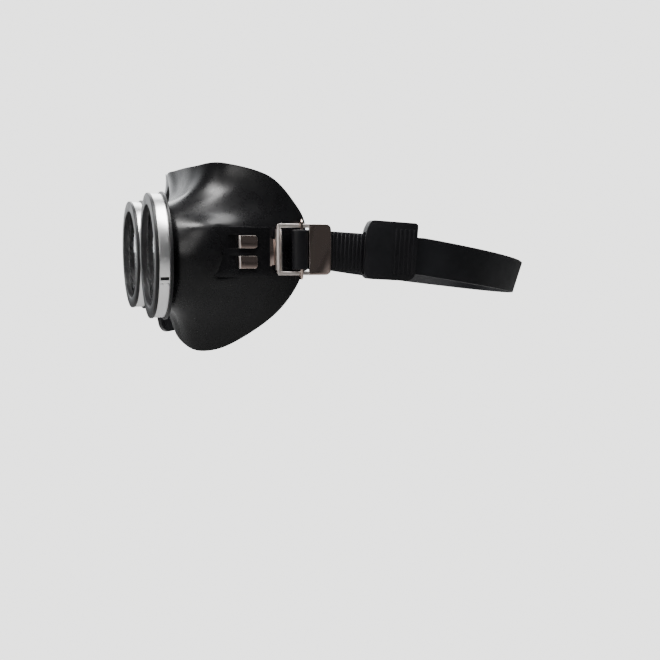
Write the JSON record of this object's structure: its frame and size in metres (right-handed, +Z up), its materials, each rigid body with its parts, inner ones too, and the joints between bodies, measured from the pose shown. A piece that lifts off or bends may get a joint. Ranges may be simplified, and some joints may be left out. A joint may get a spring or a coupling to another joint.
{
  "type": "safety goggles",
  "caption": "Wraparound protective goggles: a black rubber face mask with round glass lenses in metal bands, and a buckled rubber head strap.",
  "frame": {"origin": "middle plane, at the height of the lens axes, on the face side of the nose bridge, where the face touches the mask", "axes": "+Z up, the lenses look along -Y, +X is the wearer's left"},
  "size_m": [0.1584, 0.2288, 0.0906],
  "materials": {
    "mask_rubber": "satin",
    "strap_rubber": "satin",
    "lens_glass": "clear",
    "band_steel": "bright",
    "nickel": "bright"
  },
  "bodies": {
    "mask_body": {"face_mask": "mask_rubber", "head_strap": "strap_rubber", "left_lens": "lens_glass", "left_lens_band": "band_steel", "left_front_rivet": "band_steel", "left_rear_rivet": "band_steel", "left_strap_clip": "nickel", "left_strap_lead": "strap_rubber", "right_lens": "lens_glass", "right_lens_band": "band_steel", "right_front_rivet": "band_steel", "right_rear_rivet": "band_steel", "right_strap_clip": "nickel", "right_strap_lead": "strap_rubber"},
    "left_buckle_body": {"left_buckle": "nickel"},
    "left_slider_body": {"left_slide_bar": "nickel", "left_strap_fold": "strap_rubber"},
    "left_keeper_body": {"left_keeper": "strap_rubber"},
    "right_buckle_body": {"right_buckle": "nickel"},
    "right_slider_body": {"right_slide_bar": "nickel", "right_strap_fold": "strap_rubber"},
    "right_keeper_body": {"right_keeper": "strap_rubber"}
  },
  "joints": [
    {"name": "left_buckle_hinge", "type": "hinge", "parent": "mask_body", "child": "left_buckle_body", "pos_m": [0.07, 0.0412, 0.0031], "axis": [0, 0, -1], "range_deg": [0, 30], "stiffness_Nm_per_rad": 0.05, "springref_deg": -20.05},
    {"name": "left_slide_bar_travel", "type": "slide", "parent": "left_buckle_body", "child": "left_slider_body", "axis": [0.1219, 0.9925, 0], "range_m": [-0.0035, 0], "stiffness_N_per_m": 100, "springref_m": 0.003},
    {"name": "left_keeper_travel", "type": "slide", "parent": "mask_body", "child": "left_keeper_body", "axis": [0.1216, 0.9907, -0.061], "range_m": [-0.014, 0.004]},
    {"name": "right_buckle_hinge", "type": "hinge", "parent": "mask_body", "child": "right_buckle_body", "pos_m": [-0.07, 0.0412, 0.0031], "axis": [0, 0, 1], "range_deg": [0, 30], "stiffness_Nm_per_rad": 0.05, "springref_deg": -20.05},
    {"name": "right_slide_bar_travel", "type": "slide", "parent": "right_buckle_body", "child": "right_slider_body", "axis": [-0.1219, 0.9925, 0], "range_m": [-0.0035, 0], "stiffness_N_per_m": 100, "springref_m": 0.003},
    {"name": "right_keeper_travel", "type": "slide", "parent": "mask_body", "child": "right_keeper_body", "axis": [-0.1216, 0.9907, -0.061], "range_m": [-0.014, 0.004]}
  ]
}
